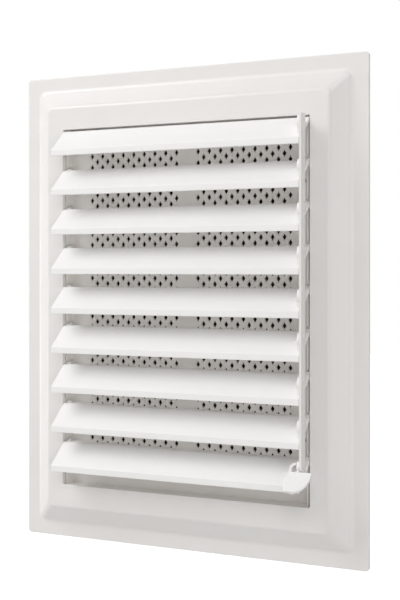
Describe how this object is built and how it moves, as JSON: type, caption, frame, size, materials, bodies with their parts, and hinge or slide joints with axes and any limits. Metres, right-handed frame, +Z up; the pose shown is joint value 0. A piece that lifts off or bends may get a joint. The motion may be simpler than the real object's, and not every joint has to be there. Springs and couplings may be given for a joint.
{
  "type": "louvred air grille",
  "caption": "Wall air grille: moulded frame with a sloped border, turning bent louvres joined by an upright link bar with a thumb handle, over a rear screen of diamond holes.",
  "frame": {"origin": "centre of the grille on the wall plane, at the back face of the rear screen", "axes": "+X to the right as seen from the front, +Y into the wall, +Z up; the front faces -Y"},
  "size_m": [0.195, 0.0303, 0.25],
  "materials": {
    "frame_plastic": "satin moulded, warm white",
    "louvre_plastic": "satin moulded, white",
    "screen_plastic": "matte moulded, warm white",
    "bar_plastic": "satin moulded, white",
    "handle_plastic": "gloss moulded, bright white",
    "screw_steel": "zinc plated"
  },
  "bodies": {
    "frame": {"front_frame": "frame_plastic", "rear_screen": "screen_plastic", "left_bearing_rail": "screen_plastic", "right_bearing_rail": "screen_plastic", "screen_screws": "screw_steel"},
    "louvre_1": {"louvre_1": "louvre_plastic"},
    "louvre_2": {"louvre_2": "louvre_plastic"},
    "louvre_3": {"louvre_3": "louvre_plastic"},
    "louvre_4": {"louvre_4": "louvre_plastic"},
    "louvre_5": {"louvre_5": "louvre_plastic"},
    "louvre_6": {"louvre_6": "louvre_plastic"},
    "louvre_7": {"louvre_7": "louvre_plastic"},
    "louvre_8": {"louvre_8": "louvre_plastic"},
    "louvre_9": {"louvre_9": "louvre_plastic", "handle": "handle_plastic"},
    "link_bar": {"link_bar": "bar_plastic"}
  },
  "joints": [
    {"name": "louvre_9_tilt", "type": "hinge", "parent": "frame", "child": "louvre_9", "pos_m": [0, -0.0055, -0.07285], "axis": [1, 0, 0], "range_deg": [-8, 40]},
    {"name": "louvre_1_tilt", "type": "hinge", "parent": "frame", "child": "louvre_1", "pos_m": [0, -0.0055, 0.09355], "axis": [1, 0, 0], "range_deg": [-8, 40]},
    {"name": "louvre_2_tilt", "type": "hinge", "parent": "frame", "child": "louvre_2", "pos_m": [0, -0.0055, 0.07275], "axis": [1, 0, 0], "range_deg": [-8, 40]},
    {"name": "louvre_3_tilt", "type": "hinge", "parent": "frame", "child": "louvre_3", "pos_m": [0, -0.0055, 0.05195], "axis": [1, 0, 0], "range_deg": [-8, 40]},
    {"name": "louvre_4_tilt", "type": "hinge", "parent": "frame", "child": "louvre_4", "pos_m": [0, -0.0055, 0.03115], "axis": [1, 0, 0], "range_deg": [-8, 40]},
    {"name": "louvre_5_tilt", "type": "hinge", "parent": "frame", "child": "louvre_5", "pos_m": [0, -0.0055, 0.01035], "axis": [1, 0, 0], "range_deg": [-8, 40]},
    {"name": "louvre_6_tilt", "type": "hinge", "parent": "frame", "child": "louvre_6", "pos_m": [0, -0.0055, -0.01045], "axis": [1, 0, 0], "range_deg": [-8, 40]},
    {"name": "louvre_7_tilt", "type": "hinge", "parent": "frame", "child": "louvre_7", "pos_m": [0, -0.0055, -0.03125], "axis": [1, 0, 0], "range_deg": [-8, 40]},
    {"name": "louvre_8_tilt", "type": "hinge", "parent": "frame", "child": "louvre_8", "pos_m": [0, -0.0055, -0.05205], "axis": [1, 0, 0], "range_deg": [-8, 40]},
    {"name": "link_bar_swing", "type": "hinge", "parent": "louvre_9", "child": "link_bar", "pos_m": [0, -0.01897, -0.07368], "axis": [1, 0, 0], "range_deg": [-40, 8]}
  ],
  "couplings": [
    {"joint": "louvre_1_tilt", "follows": "louvre_9_tilt", "ratio": 1},
    {"joint": "louvre_2_tilt", "follows": "louvre_9_tilt", "ratio": 1},
    {"joint": "louvre_3_tilt", "follows": "louvre_9_tilt", "ratio": 1},
    {"joint": "louvre_4_tilt", "follows": "louvre_9_tilt", "ratio": 1},
    {"joint": "louvre_5_tilt", "follows": "louvre_9_tilt", "ratio": 1},
    {"joint": "louvre_6_tilt", "follows": "louvre_9_tilt", "ratio": 1},
    {"joint": "louvre_7_tilt", "follows": "louvre_9_tilt", "ratio": 1},
    {"joint": "louvre_8_tilt", "follows": "louvre_9_tilt", "ratio": 1},
    {"joint": "link_bar_swing", "follows": "louvre_9_tilt", "ratio": -1}
  ]
}
